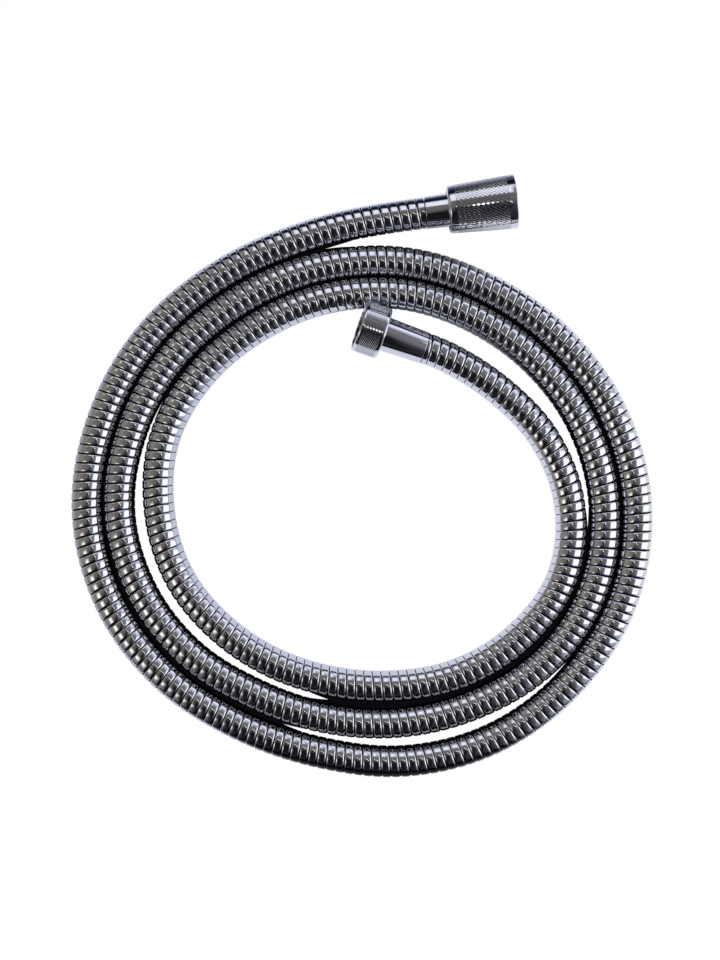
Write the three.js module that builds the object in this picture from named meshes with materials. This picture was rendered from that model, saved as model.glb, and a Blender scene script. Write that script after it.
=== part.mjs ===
import * as THREE from 'three';

// Shower hose: a folded metal strip wound into a hose round a rubber water tube, with a long
// conical nut on one end and a short knurled nut on the other, laid down in a loose flat coil.
// Millimetres, +Z up. The origin is on the floor, under the middle of the whole part.

// Clearance between pieces that touch or turn in each other
const FIT_GAP = 0.3;

// Metal hose and the water tube in it
const HOSE_RADIUS = 6.9;
const HOSE_WALL = 0.9;
const HOSE_SIDES = 12;
const WATER_TUBE_SLACK = 0.6;
const WATER_TUBE_WALL = 1.4;
const WATER_TUBE_SIDES = 8;

// Inserts: each has a barbed tail in the water tube, a spigot in its sleeve and a sealing flange
const TAIL_LENGTH = 14;
const TAIL_WALL = 0.9;
const BARB_COUNT = 3;
const BARB_DEPTH = 0.4;
const SPIGOT_LENGTH = 5;
const FLANGE_THICKNESS = 1.8;

// Crimp rings that squeeze the water tube on the tails
const CRIMP_LENGTH = 7;
const CRIMP_WALL = 0.45;

// Sleeves that cover the hose ends, widening a little towards the nuts
const SLEEVE_WALL = 0.6;
const SLEEVE_LIP = 1;
const SLEEVE_MOUTH_RADIUS = 7;
const SLEEVE_SEAT_RADIUS = 7.6;
const CONE_SLEEVE_LENGTH = 23;
const WALL_SLEEVE_LENGTH = 20.5;

// Both nuts have a G 1/2 thread, drawn here as a plain bore at its core
const THREAD_CORE_RADIUS = 9.3;
const THREAD_LEAD_IN = 0.5;
const WASHER_THICKNESS = 2;
const WASHER_HOLE_RADIUS = 5.5;

// Conical nut, which a handset's holder takes
const CONE_LENGTH = 30;
const CONE_WIDE_RADIUS = 11.8;
const CONE_NARROW_RADIUS = 10.3;
const CONE_SHOULDER = 13;
const CONE_ROUNDING = 1.2;
const CONE_EDGE = 0.4;

// Short nut for the wall outlet or the tap
const WALL_NUT_WIDTH = 11.6;
const WALL_NUT_RADIUS = 11.5;
const WALL_NUT_SHOULDER = 1.5;
const WALL_NUT_EDGE = 0.8;
const WALL_NUT_PITCH = THREE.MathUtils.degToRad(6);
const WALL_NUT_LIFT = 3.6;

// Roundness of the turned pieces
const TURNED_SIDES = 32;
const ROUNDING_STEPS = 2;

// The coil: its middle, and the distance of the hose's centre line from it at every 20 degrees
// counter-clockwise. The hose begins at the conical nut and winds inwards for three turns. The
// first radius and the last two lie on the lines of the fittings, just past the hose's ends.
const COIL_X = 0;
const COIL_Y = -14.1;
const COIL_FROM = 60;
const COIL_STEP = 20;
const COIL_RADII = [
  152.4,
  132.8, 124.2, 121.9, 122.2, 122.6, 122.9, 120.4, 115.9, 111.4,
  110.9, 114.8, 118.7, 121.4, 123.6, 122.9, 119.9, 116.2, 113.0,
  111.4, 109.2, 107.5, 108.0, 108.4, 108.5, 105.3, 100.7, 95.9,
  95.2, 97.2, 101.1, 106.5, 109.3, 108.4, 105.5, 101.8, 98.8,
  97.2, 95.0, 93.3, 93.5, 93.7, 90.8, 87.5, 82.9, 79.8,
  78.8, 80.8, 85.7, 90.7, 94.7, 93.0, 87.4, 80.6, 76.9,
  76.9, 87.7,
];
const HOSE_FROM = 78;
const HOSE_TO = 1148.5;
const HOSE_SECTION_STEP = 15;
const HOSE_END_STEP = 2;
const HEADING_STEP = 0.01;

// Sizes that follow from the ones above
const WATER_TUBE_RADIUS = HOSE_RADIUS - HOSE_WALL - WATER_TUBE_SLACK;
const WATER_TUBE_BORE = WATER_TUBE_RADIUS - WATER_TUBE_WALL;
const TAIL_RADIUS = WATER_TUBE_BORE - FIT_GAP;
const INSERT_BORE = TAIL_RADIUS - TAIL_WALL;
const CRIMP_BORE = WATER_TUBE_RADIUS + FIT_GAP;
const SPIGOT_RADIUS = SLEEVE_SEAT_RADIUS - SLEEVE_WALL - 2 * FIT_GAP;
const FLANGE_RADIUS = THREAD_CORE_RADIUS - FIT_GAP;
const NUT_BORE = SLEEVE_SEAT_RADIUS + FIT_GAP;

// Places along a fitting, measured from the hose's end towards the nut's open face
function fittingPlaces(sleeveLength, nutLength, nutShoulder) {
  const sleeveFrom = FIT_GAP;
  const sleeveTo = sleeveFrom + sleeveLength;
  const flangeFrom = sleeveTo + FIT_GAP;
  const flangeTo = flangeFrom + FLANGE_THICKNESS;
  const washerFrom = flangeTo + FIT_GAP;
  const spigotFrom = flangeFrom - SPIGOT_LENGTH;
  const tailFrom = spigotFrom - TAIL_LENGTH;
  const crimpFrom = tailFrom + (TAIL_LENGTH - CRIMP_LENGTH) / 2;
  const nutFrom = sleeveTo - nutShoulder;
  return {
    sleeveFrom,
    sleeveTo,
    flangeFrom,
    flangeTo,
    washerFrom,
    washerTo: washerFrom + WASHER_THICKNESS,
    spigotFrom,
    tailFrom,
    crimpFrom,
    crimpTo: crimpFrom + CRIMP_LENGTH,
    waterTubeTo: spigotFrom - FIT_GAP,
    nutFrom,
    nutShoulderAt: sleeveTo,
    nutTo: nutFrom + nutLength,
  };
}

const conePlaces = fittingPlaces(CONE_SLEEVE_LENGTH, CONE_LENGTH, CONE_SHOULDER);
const wallPlaces = fittingPlaces(WALL_SLEEVE_LENGTH, WALL_NUT_WIDTH, WALL_NUT_SHOULDER);

// The conical nut lies on its side, so its axis rises by its own taper. The short nut leans on the
// turn of the hose beside it, clear of the floor and with the open end a little up.
const conePitch = Math.atan((CONE_WIDE_RADIUS - CONE_NARROW_RADIUS) / CONE_LENGTH);
const coneEndHeight = CONE_NARROW_RADIUS * Math.cos(conePitch) - conePlaces.nutFrom * Math.sin(conePitch);
const wallRimAt = wallPlaces.nutFrom + WALL_NUT_EDGE;
const wallRimHeight = WALL_NUT_LIFT + WALL_NUT_RADIUS * Math.cos(WALL_NUT_PITCH);
const wallEndHeight = wallRimHeight - wallRimAt * Math.sin(WALL_NUT_PITCH);

// Radius of the coil at an angle in degrees: a cubic from one listed radius to the next
function coilRadius(angle) {
  const place = (angle - COIL_FROM) / COIL_STEP;
  const index = Math.min(Math.max(Math.floor(place), 1), COIL_RADII.length - 3);
  const share = place - index;
  const [before, from, to, after] = COIL_RADII.slice(index - 1, index + 3);
  const slopeFrom = (to - before) / 2;
  const slopeTo = (after - from) / 2;
  const rise = to - from;
  const square = 3 * rise - 2 * slopeFrom - slopeTo;
  const cube = slopeFrom + slopeTo - 2 * rise;
  return from + share * (slopeFrom + share * (square + share * cube));
}

function flatRoute(angle) {
  const turn = THREE.MathUtils.degToRad(angle);
  const radius = coilRadius(angle);
  return new THREE.Vector3(COIL_X + radius * Math.cos(turn), COIL_Y + radius * Math.sin(turn), 0);
}

// Direction of the hose on the floor, and the length that one degree of the coil takes
function flatHeading(angle) {
  return flatRoute(angle + HEADING_STEP).sub(flatRoute(angle - HEADING_STEP)).normalize();
}

function lengthPerDegree(angle) {
  return flatRoute(angle + HEADING_STEP).distanceTo(flatRoute(angle - HEADING_STEP)) / (2 * HEADING_STEP);
}

// Turn over which a raised end comes down to the floor in a parabola that leaves the fitting straight
function dropTurn(endHeight, pitch, angle) {
  return (2 * (endHeight - HOSE_RADIUS)) / (Math.tan(pitch) * lengthPerDegree(angle));
}

const coneDropTurn = dropTurn(coneEndHeight, conePitch, HOSE_FROM);
const wallDropTurn = dropTurn(wallEndHeight, WALL_NUT_PITCH, HOSE_TO);

function hosePoint(angle) {
  const coneLeft = Math.max(1 - (angle - HOSE_FROM) / coneDropTurn, 0);
  const wallLeft = Math.max(1 - (HOSE_TO - angle) / wallDropTurn, 0);
  const point = flatRoute(angle);
  point.z = HOSE_RADIUS;
  point.z += (coneEndHeight - HOSE_RADIUS) * coneLeft ** 2;
  point.z += (wallEndHeight - HOSE_RADIUS) * wallLeft ** 2;
  return point;
}

// Direction out of an end of the hose, along its fitting
function pitched(heading, pitch) {
  return heading.clone().multiplyScalar(Math.cos(pitch)).setZ(Math.sin(pitch));
}

const coneOutward = pitched(flatHeading(HOSE_FROM).negate(), conePitch);
const wallOutward = pitched(flatHeading(HOSE_TO), WALL_NUT_PITCH);

// The hose's line as a curve with a section at every 15 degrees, so the flats of neighbouring turns
// lie parallel, and two close together at each end, so it leaves straight along the fitting. A lead
// carries it on into each fitting.
class HoseLine extends THREE.Curve {
  constructor(coneLead, wallLead) {
    super();
    this.points = [];
    if (coneLead > 0) {
      this.points.push(hosePoint(HOSE_FROM).addScaledVector(coneOutward, coneLead));
    }
    this.points.push(hosePoint(HOSE_FROM), hosePoint(HOSE_FROM + HOSE_END_STEP));
    const first = Math.ceil(HOSE_FROM / HOSE_SECTION_STEP + 0.5) * HOSE_SECTION_STEP;
    for (let angle = first; angle < HOSE_TO - HOSE_SECTION_STEP / 2; angle += HOSE_SECTION_STEP) {
      this.points.push(hosePoint(angle));
    }
    this.points.push(hosePoint(HOSE_TO - HOSE_END_STEP), hosePoint(HOSE_TO));
    if (wallLead > 0) {
      this.points.push(hosePoint(HOSE_TO).addScaledVector(wallOutward, wallLead));
    }
    this.curve = new THREE.CatmullRomCurve3(this.points);
    this.sections = this.points.length - 1;
  }

  getPoint(share, target) {
    return this.curve.getPoint(share, target);
  }

  // Equal shares of the curve are whole sections, not equal lengths
  getUtoTmapping(share) {
    return share;
  }
}

function chrome() {
  return new THREE.MeshStandardMaterial({ color: 0xc9cad0, metalness: 1, roughness: 0.1 });
}

function brass() {
  return new THREE.MeshStandardMaterial({ color: 0xb5924c, metalness: 1, roughness: 0.35 });
}

function rubber() {
  return new THREE.MeshStandardMaterial({ color: 0x1d1d1f, metalness: 0, roughness: 0.7 });
}

function named(name, geometry, material) {
  const mesh = new THREE.Mesh(geometry, material);
  mesh.name = name;
  return mesh;
}

// A turned piece from its closed outline, radius across and place along the fitting upwards
function turned(name, outline, material) {
  return named(name, new THREE.LatheGeometry(outline.getPoints(ROUNDING_STEPS), TURNED_SIDES), material);
}

function outlineOf(corners) {
  const outline = new THREE.Path();
  outline.moveTo(...corners[0]);
  corners.slice(1).forEach((corner) => outline.lineTo(...corner));
  outline.lineTo(...corners[0]);
  return outline;
}

function circle(radius, sides, shape) {
  for (let side = 0; side <= sides; side += 1) {
    const turn = (2 * Math.PI * side) / sides;
    const corner = [radius * Math.cos(turn), radius * Math.sin(turn)];
    if (side === 0) {
      shape.moveTo(...corner);
    } else {
      shape.lineTo(...corner);
    }
  }
  return shape;
}

// A pipe of even wall along the hose's line
function pipe(name, radius, bore, sides, line, material) {
  const section = circle(radius, sides, new THREE.Shape());
  section.holes.push(circle(bore, sides, new THREE.Path()));
  const options = { steps: line.sections, extrudePath: line };
  return named(name, new THREE.ExtrudeGeometry(section, options), material);
}

function metalHose() {
  return pipe('metal_hose', HOSE_RADIUS, HOSE_RADIUS - HOSE_WALL, HOSE_SIDES, new HoseLine(0, 0), chrome());
}

function waterTube() {
  const line = new HoseLine(conePlaces.waterTubeTo, wallPlaces.waterTubeTo);
  return pipe('water_tube', WATER_TUBE_RADIUS, WATER_TUBE_BORE, WATER_TUBE_SIDES, line, rubber());
}

function sleeve(name, places) {
  const seatBore = SLEEVE_SEAT_RADIUS - SLEEVE_WALL;
  const mouthBore = SLEEVE_MOUTH_RADIUS - SLEEVE_WALL;
  const outline = outlineOf([
    [CRIMP_BORE, places.sleeveFrom],
    [SLEEVE_MOUTH_RADIUS, places.sleeveFrom],
    [SLEEVE_SEAT_RADIUS, places.sleeveTo],
    [seatBore, places.sleeveTo],
    [mouthBore, places.sleeveFrom + SLEEVE_LIP],
    [CRIMP_BORE, places.sleeveFrom + SLEEVE_LIP],
  ]);
  return turned(name, outline, chrome());
}

function crimpRing(name, places) {
  const outline = outlineOf([
    [CRIMP_BORE, places.crimpFrom],
    [CRIMP_BORE + CRIMP_WALL, places.crimpFrom],
    [CRIMP_BORE + CRIMP_WALL, places.crimpTo],
    [CRIMP_BORE, places.crimpTo],
  ]);
  return turned(name, outline, brass());
}

function insert(name, places) {
  const corners = [[INSERT_BORE, places.tailFrom]];
  const barbLength = TAIL_LENGTH / BARB_COUNT;
  for (let barb = 0; barb < BARB_COUNT; barb += 1) {
    const barbFrom = places.tailFrom + barb * barbLength;
    corners.push([TAIL_RADIUS - BARB_DEPTH, barbFrom]);
    corners.push([TAIL_RADIUS, barbFrom + barbLength / 2]);
  }
  corners.push([TAIL_RADIUS - BARB_DEPTH, places.spigotFrom]);
  corners.push([SPIGOT_RADIUS, places.spigotFrom]);
  corners.push([SPIGOT_RADIUS, places.flangeFrom]);
  corners.push([FLANGE_RADIUS, places.flangeFrom]);
  corners.push([FLANGE_RADIUS, places.flangeTo]);
  corners.push([INSERT_BORE, places.flangeTo]);
  return turned(name, outlineOf(corners), brass());
}

function washer(name, places) {
  const outline = outlineOf([
    [WASHER_HOLE_RADIUS, places.washerFrom],
    [FLANGE_RADIUS, places.washerFrom],
    [FLANGE_RADIUS, places.washerTo],
    [WASHER_HOLE_RADIUS, places.washerTo],
  ]);
  return turned(name, outline, rubber());
}

// The bore that both nuts share: lead-in, thread core, shoulder and the hole for the sleeve
function addNutBore(outline, places) {
  outline.lineTo(THREAD_CORE_RADIUS + THREAD_LEAD_IN, places.nutTo);
  outline.lineTo(THREAD_CORE_RADIUS, places.nutTo - THREAD_LEAD_IN);
  outline.lineTo(THREAD_CORE_RADIUS, places.nutShoulderAt);
  outline.lineTo(NUT_BORE, places.nutShoulderAt);
  outline.lineTo(NUT_BORE, places.nutFrom);
}

// Outer radius of the conical nut at a distance from its narrow end
function coneRadius(distance) {
  return CONE_NARROW_RADIUS + distance * Math.tan(conePitch);
}

function coneNut() {
  const places = conePlaces;
  const outline = new THREE.Path();
  const roundingMiddle = coneRadius(CONE_ROUNDING) - CONE_ROUNDING / Math.cos(conePitch);
  outline.moveTo(NUT_BORE, places.nutFrom);
  outline.lineTo(roundingMiddle, places.nutFrom);
  outline.absarc(roundingMiddle, places.nutFrom + CONE_ROUNDING, CONE_ROUNDING, -Math.PI / 2, -conePitch);
  outline.lineTo(coneRadius(CONE_LENGTH - CONE_EDGE), places.nutTo - CONE_EDGE);
  outline.lineTo(CONE_WIDE_RADIUS - CONE_EDGE, places.nutTo);
  addNutBore(outline, places);
  return turned('cone_nut', outline, chrome());
}

function wallNut() {
  const places = wallPlaces;
  const outline = new THREE.Path();
  outline.moveTo(NUT_BORE, places.nutFrom);
  outline.lineTo(WALL_NUT_RADIUS - WALL_NUT_EDGE, places.nutFrom);
  outline.lineTo(WALL_NUT_RADIUS, places.nutFrom + WALL_NUT_EDGE);
  outline.lineTo(WALL_NUT_RADIUS, places.nutTo - WALL_NUT_EDGE);
  outline.lineTo(WALL_NUT_RADIUS - WALL_NUT_EDGE, places.nutTo);
  addNutBore(outline, places);
  return turned('wall_nut', outline, chrome());
}

// A fitting stands on the hose's end, its own Y along the way out and its Z up
function fitting(endPoint, outward, pieces) {
  const up = new THREE.Vector3(0, 0, 1);
  const side = new THREE.Vector3().crossVectors(outward, up).normalize();
  const top = new THREE.Vector3().crossVectors(side, outward);
  const group = new THREE.Group();
  group.position.copy(endPoint);
  group.quaternion.setFromRotationMatrix(new THREE.Matrix4().makeBasis(side, outward, top));
  group.add(...pieces);
  return group;
}

const showerHose = new THREE.Group();
showerHose.add(metalHose(), waterTube());
showerHose.add(
  fitting(hosePoint(HOSE_FROM), coneOutward, [
    sleeve('cone_ferrule', conePlaces),
    crimpRing('cone_crimp_ring', conePlaces),
    insert('cone_insert', conePlaces),
    washer('cone_washer', conePlaces),
    coneNut(),
  ]),
);
showerHose.add(
  fitting(hosePoint(HOSE_TO), wallOutward, [
    sleeve('wall_sleeve', wallPlaces),
    crimpRing('wall_crimp_ring', wallPlaces),
    insert('wall_insert', wallPlaces),
    washer('wall_washer', wallPlaces),
    wallNut(),
  ]),
);

export default showerHose;
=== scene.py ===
"""Shower hose: a wound metal strip round a rubber water tube, a knurled conical nut on one end and
a short knurled nut on the other, laid down in a loose flat coil. Metres, +Z up."""

import math

import bmesh
import bpy
import numpy as np
from mathutils import Matrix, Vector


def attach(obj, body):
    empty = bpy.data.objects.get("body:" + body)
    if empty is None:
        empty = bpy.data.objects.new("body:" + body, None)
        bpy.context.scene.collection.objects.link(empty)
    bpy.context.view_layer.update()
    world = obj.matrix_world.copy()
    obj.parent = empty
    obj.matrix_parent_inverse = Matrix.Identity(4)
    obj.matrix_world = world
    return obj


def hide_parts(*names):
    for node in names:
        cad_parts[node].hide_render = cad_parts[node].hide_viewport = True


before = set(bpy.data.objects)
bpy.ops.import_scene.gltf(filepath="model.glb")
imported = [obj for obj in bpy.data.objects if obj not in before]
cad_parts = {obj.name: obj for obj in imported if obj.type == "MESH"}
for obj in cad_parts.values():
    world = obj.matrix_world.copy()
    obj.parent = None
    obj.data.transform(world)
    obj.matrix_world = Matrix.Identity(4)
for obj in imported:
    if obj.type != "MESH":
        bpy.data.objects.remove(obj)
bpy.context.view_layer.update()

bl_info = {
    "name": "Shower Hose",
    "version": (1, 0, 0),
    "blender": (4, 5, 0),
    "location": "View3D > Sidebar > Shower Hose",
    "description": "Builds a coiled shower hose with its two nuts, and the light it lies in",
    "category": "Object",
}

# Clearance between pieces that touch or turn in each other
FIT_GAP = 0.0003

# Metal hose and the water tube in it
HOSE_RADIUS = 0.0069
WATER_TUBE_RADIUS = 0.0054
WATER_TUBE_WALL = 0.0014

# Inserts: each has a barbed tail in the water tube, a spigot in its sleeve and a sealing flange
TAIL_LENGTH = 0.014
TAIL_WALL = 0.0009
BARB_COUNT = 3
BARB_DEPTH = 0.0004
SPIGOT_LENGTH = 0.005
FLANGE_THICKNESS = 0.0018

# Sleeves that cover the hose ends, widening a little towards the nuts
SLEEVE_WALL = 0.0006
SLEEVE_LIP = 0.001
SLEEVE_MOUTH_RADIUS = 0.007
SLEEVE_SEAT_RADIUS = 0.0076
SLEEVE_ROUNDING = 0.00025
CONE_SLEEVE_LENGTH = 0.023
WALL_SLEEVE_LENGTH = 0.0205

# Both nuts have a G 1/2 thread: its core, its root and its pitch
THREAD_CORE_RADIUS = 0.0093
THREAD_ROOT_RADIUS = 0.01048
THREAD_PITCH = 0.001814
THREAD_LEAD_IN = 0.0013
THREAD_RUN_OUT = 0.0003
THREAD_STEPS = 48
WASHER_THICKNESS = 0.002
WASHER_HOLE_RADIUS = 0.0055
WASHER_ROUNDING = 0.0003

# Conical nut, which a handset's holder takes
CONE_LENGTH = 0.03
CONE_WIDE_RADIUS = 0.0118
CONE_NARROW_RADIUS = 0.0103
CONE_SHOULDER = 0.013
CONE_ROUNDING = 0.0012
CONE_EDGE = 0.0004
CONE_BAND = 0.0035

# Short nut for the wall outlet or the tap
WALL_NUT_WIDTH = 0.0116
WALL_NUT_RADIUS = 0.0115
WALL_NUT_SHOULDER = 0.0015
WALL_NUT_EDGE = 0.0008
WALL_NUT_BAND = 0.0009
WALL_NUT_PITCH = math.radians(6)
WALL_NUT_LIFT = 0.0036

# Roundness of the turned pieces and of the hose, and the softening of their rims
TURNED_STEPS = 72
HOSE_STEPS = 24
ROUNDING_STEPS = 3
SHOULDER_STEPS = 2
RIM_ROUNDING = 0.0002
SHARP_ANGLE = math.radians(40)
STRIP_SHARP_ANGLE = math.radians(70)
TINY = 1e-6

# Turns of the strip and of a thread that are wound past the ends and then cut off
SPARE_STRIP_TURNS = 3
SPARE_THREAD_TURNS = 2

# The coil: its middle, and the distance of the hose's centre line from it at every 20 degrees
# counter-clockwise. The hose begins at the conical nut and winds inwards for three turns.
COIL_MIDDLE = (0.0, -0.0141)
COIL_FROM = 60.0
COIL_STEP = 20.0
COIL_RADII = np.array([
    0.1524,
    0.1328, 0.1242, 0.1219, 0.1222, 0.1226, 0.1229, 0.1204, 0.1159, 0.1114,
    0.1109, 0.1148, 0.1187, 0.1214, 0.1236, 0.1229, 0.1199, 0.1162, 0.1130,
    0.1114, 0.1092, 0.1075, 0.1080, 0.1084, 0.1085, 0.1053, 0.1007, 0.0959,
    0.0952, 0.0972, 0.1011, 0.1065, 0.1093, 0.1084, 0.1055, 0.1018, 0.0988,
    0.0972, 0.0950, 0.0933, 0.0935, 0.0937, 0.0908, 0.0875, 0.0829, 0.0798,
    0.0788, 0.0808, 0.0857, 0.0907, 0.0947, 0.0930, 0.0874, 0.0806, 0.0769,
    0.0769, 0.0877,
])
HOSE_FROM = 78.0
HOSE_TO = 1148.5
HEADING_STEP = 0.01
LAY_STEP = 0.25

# Sizes that follow from the ones above
WATER_TUBE_BORE = WATER_TUBE_RADIUS - WATER_TUBE_WALL
TAIL_RADIUS = WATER_TUBE_BORE - FIT_GAP
INSERT_BORE = TAIL_RADIUS - TAIL_WALL
CRIMP_BORE = WATER_TUBE_RADIUS + FIT_GAP
SPIGOT_RADIUS = SLEEVE_SEAT_RADIUS - SLEEVE_WALL - 2 * FIT_GAP
FLANGE_RADIUS = THREAD_CORE_RADIUS - FIT_GAP
NUT_BORE = SLEEVE_SEAT_RADIUS + FIT_GAP


def srgb(code):
    """Linear colour of a six-figure hex code."""
    shares = [int(code[place:place + 2], 16) / 255 for place in (1, 3, 5)]
    return tuple(
        share / 12.92 if share <= 0.04045 else ((share + 0.055) / 1.055) ** 2.4 for share in shares
    )


# Places along a fitting, measured from the hose's end towards the nut's open face
def fitting_places(sleeve_length, nut_length, nut_shoulder):
    sleeve_to = FIT_GAP + sleeve_length
    flange_from = sleeve_to + FIT_GAP
    flange_to = flange_from + FLANGE_THICKNESS
    washer_from = flange_to + FIT_GAP
    washer_to = washer_from + WASHER_THICKNESS
    spigot_from = flange_from - SPIGOT_LENGTH
    nut_from = sleeve_to - nut_shoulder
    return {
        "sleeve_from": FIT_GAP,
        "sleeve_to": sleeve_to,
        "flange_from": flange_from,
        "flange_to": flange_to,
        "washer_from": washer_from,
        "washer_to": washer_to,
        "spigot_from": spigot_from,
        "tail_from": spigot_from - TAIL_LENGTH,
        "nut_from": nut_from,
        "thread_from": washer_to + FIT_GAP,
        "nut_to": nut_from + nut_length,
    }


cone_places = fitting_places(CONE_SLEEVE_LENGTH, CONE_LENGTH, CONE_SHOULDER)
wall_places = fitting_places(WALL_SLEEVE_LENGTH, WALL_NUT_WIDTH, WALL_NUT_SHOULDER)

# The conical nut lies on its side and the short nut leans on the turn of the hose beside it, so both
# hold the hose's ends up
cone_pitch = math.atan((CONE_WIDE_RADIUS - CONE_NARROW_RADIUS) / CONE_LENGTH)
cone_end_height = CONE_NARROW_RADIUS * math.cos(cone_pitch) - cone_places["nut_from"] * math.sin(cone_pitch)
wall_rim_at = wall_places["nut_from"] + WALL_NUT_EDGE
wall_rim_height = WALL_NUT_LIFT + WALL_NUT_RADIUS * math.cos(WALL_NUT_PITCH)
wall_end_height = wall_rim_height - wall_rim_at * math.sin(WALL_NUT_PITCH)


# Radius of the coil at an angle in degrees: a cubic from one listed radius to the next
def coil_radius(angle):
    place = (angle - COIL_FROM) / COIL_STEP
    index = np.clip(np.floor(place).astype(int), 1, len(COIL_RADII) - 3)
    share = place - index
    before, start, end, after = (COIL_RADII[index + shift] for shift in (-1, 0, 1, 2))
    slope_start = (end - before) / 2
    slope_end = (after - start) / 2
    rise = end - start
    square = 3 * rise - 2 * slope_start - slope_end
    cube = slope_start + slope_end - 2 * rise
    return start + share * (slope_start + share * (square + share * cube))


def flat_route(angle):
    angle = np.asarray(angle, dtype=float)
    turn = np.radians(angle)
    radius = coil_radius(angle)
    across = COIL_MIDDLE[0] + radius * np.cos(turn)
    along = COIL_MIDDLE[1] + radius * np.sin(turn)
    return np.stack([across, along, np.zeros_like(radius)], axis=-1)


def unit(vectors):
    return vectors / np.linalg.norm(vectors, axis=-1, keepdims=True)


# Turn over which a raised end comes down to the floor in a parabola that leaves the fitting straight
def drop_turn(end_height, pitch, angle):
    step = flat_route(angle + HEADING_STEP) - flat_route(angle - HEADING_STEP)
    length_per_degree = np.linalg.norm(step) / (2 * HEADING_STEP)
    return 2 * (end_height - HOSE_RADIUS) / (math.tan(pitch) * length_per_degree)


cone_drop_turn = drop_turn(cone_end_height, cone_pitch, HOSE_FROM)
wall_drop_turn = drop_turn(wall_end_height, WALL_NUT_PITCH, HOSE_TO)


# Points on the hose's centre line
def hose_points(angle):
    points = flat_route(angle)
    cone_left = np.maximum(1 - (angle - HOSE_FROM) / cone_drop_turn, 0)
    wall_left = np.maximum(1 - (HOSE_TO - angle) / wall_drop_turn, 0)
    points[..., 2] += HOSE_RADIUS
    points[..., 2] += (cone_end_height - HOSE_RADIUS) * cone_left ** 2
    points[..., 2] += (wall_end_height - HOSE_RADIUS) * wall_left ** 2
    return points


def hose_headings(angle):
    return unit(hose_points(angle + HEADING_STEP) - hose_points(angle - HEADING_STEP))


lay_angles = np.arange(HOSE_FROM, HOSE_TO + LAY_STEP / 2, LAY_STEP)
lay_points = hose_points(lay_angles)
lay_steps = np.linalg.norm(np.diff(lay_points, axis=0), axis=1)
lay_lengths = np.concatenate(([0.0], np.cumsum(lay_steps)))
hose_length = float(lay_lengths[-1])


# A fitting's own frame: its Z runs out of the hose along the fitting and its Y points up
def fitting_frame(angle, way_out, pitch):
    ahead = unit(flat_route(angle + HEADING_STEP) - flat_route(angle - HEADING_STEP))
    outward = Vector(way_out * ahead) * math.cos(pitch) + Vector((0, 0, math.sin(pitch)))
    side = Vector((0, 0, 1)).cross(outward).normalized()
    turned = Matrix((side, outward.cross(side), outward)).transposed()
    return Matrix.Translation(Vector(hose_points(angle))) @ turned.to_4x4()


cone_frame = fitting_frame(HOSE_FROM, -1, cone_pitch)
wall_frame = fitting_frame(HOSE_TO, 1, WALL_NUT_PITCH)


class ShowerHoseSizes(bpy.types.PropertyGroup):
    """Sizes and colours of the shower hose."""

    strip_pitch: bpy.props.FloatProperty(
        name="Strip Pitch",
        description="Length of hose that one turn of the wound strip takes",
        default=0.00405,
        unit="LENGTH",
    )
    groove_width: bpy.props.FloatProperty(
        name="Groove Width",
        description="Width of the groove between two turns of the strip where the hose is straight",
        default=0.0006,
        unit="LENGTH",
    )
    groove_depth: bpy.props.FloatProperty(
        name="Groove Depth",
        description="Depth of the groove between two turns of the strip",
        default=0.0005,
        unit="LENGTH",
    )
    shoulder_radius: bpy.props.FloatProperty(
        name="Shoulder Radius",
        description="Rounding of the strip beside the groove",
        default=0.0009,
        unit="LENGTH",
    )
    shoulder_width: bpy.props.FloatProperty(
        name="Shoulder Width",
        description="Width of the strip that the rounding takes on each side",
        default=0.0006,
        unit="LENGTH",
    )
    strip_wall: bpy.props.FloatProperty(
        name="Strip Wall",
        description="Metal left under the groove",
        default=0.0002,
        unit="LENGTH",
    )
    cone_knurl_length: bpy.props.FloatProperty(
        name="Cone Knurl Length",
        description="Length of one diamond of the conical nut's knurling",
        default=0.00206,
        unit="LENGTH",
    )
    cone_knurl_width: bpy.props.FloatProperty(
        name="Cone Knurl Width",
        description="Width of one diamond of the conical nut's knurling",
        default=0.00119,
        unit="LENGTH",
    )
    wall_knurl_length: bpy.props.FloatProperty(
        name="Wall Knurl Length",
        description="Length of one diamond of the short nut's knurling",
        default=0.00141,
        unit="LENGTH",
    )
    wall_knurl_width: bpy.props.FloatProperty(
        name="Wall Knurl Width",
        description="Width of one diamond of the short nut's knurling",
        default=0.00109,
        unit="LENGTH",
    )
    knurl_depth: bpy.props.FloatProperty(
        name="Knurl Depth",
        description="Height of the diamonds over the grooves between them",
        default=0.0001,
        unit="LENGTH",
    )
    knurl_slope: bpy.props.FloatProperty(
        name="Knurl Slope",
        description="Width of the sloping sides of a diamond",
        default=0.000095,
        unit="LENGTH",
    )
    steel_colour: bpy.props.FloatVectorProperty(
        name="Steel",
        description="Colour of the polished strip",
        default=srgb("#cccdd3"),
        subtype="COLOR",
    )
    # Painted shade: this dark colour stands in for the shade down in the groove between two turns of the
    # strip
    groove_shade_colour: bpy.props.FloatVectorProperty(
        name="Groove",
        description="Colour of the strip's rolled edge down in the groove",
        default=srgb("#131317"),
        subtype="COLOR",
    )
    chrome_colour: bpy.props.FloatVectorProperty(
        name="Chrome",
        description="Colour of the chrome plate on the nuts and sleeves",
        default=srgb("#cfd0d6"),
        subtype="COLOR",
    )
    # Painted shade: this darker chrome stands in for the shade between the diamonds of the knurling
    knurl_shade_colour: bpy.props.FloatVectorProperty(
        name="Knurl Grooves",
        description="Colour of the chrome between the diamonds of the knurling",
        default=srgb("#b3b4bb"),
        subtype="COLOR",
    )
    brass_colour: bpy.props.FloatVectorProperty(
        name="Brass",
        description="Colour of the bare inserts and crimp rings",
        default=srgb("#b5924c"),
        subtype="COLOR",
    )
    rubber_colour: bpy.props.FloatVectorProperty(
        name="Rubber",
        description="Colour of the washers and the water tube",
        default=srgb("#1d1d1f"),
        subtype="COLOR",
    )


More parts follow.
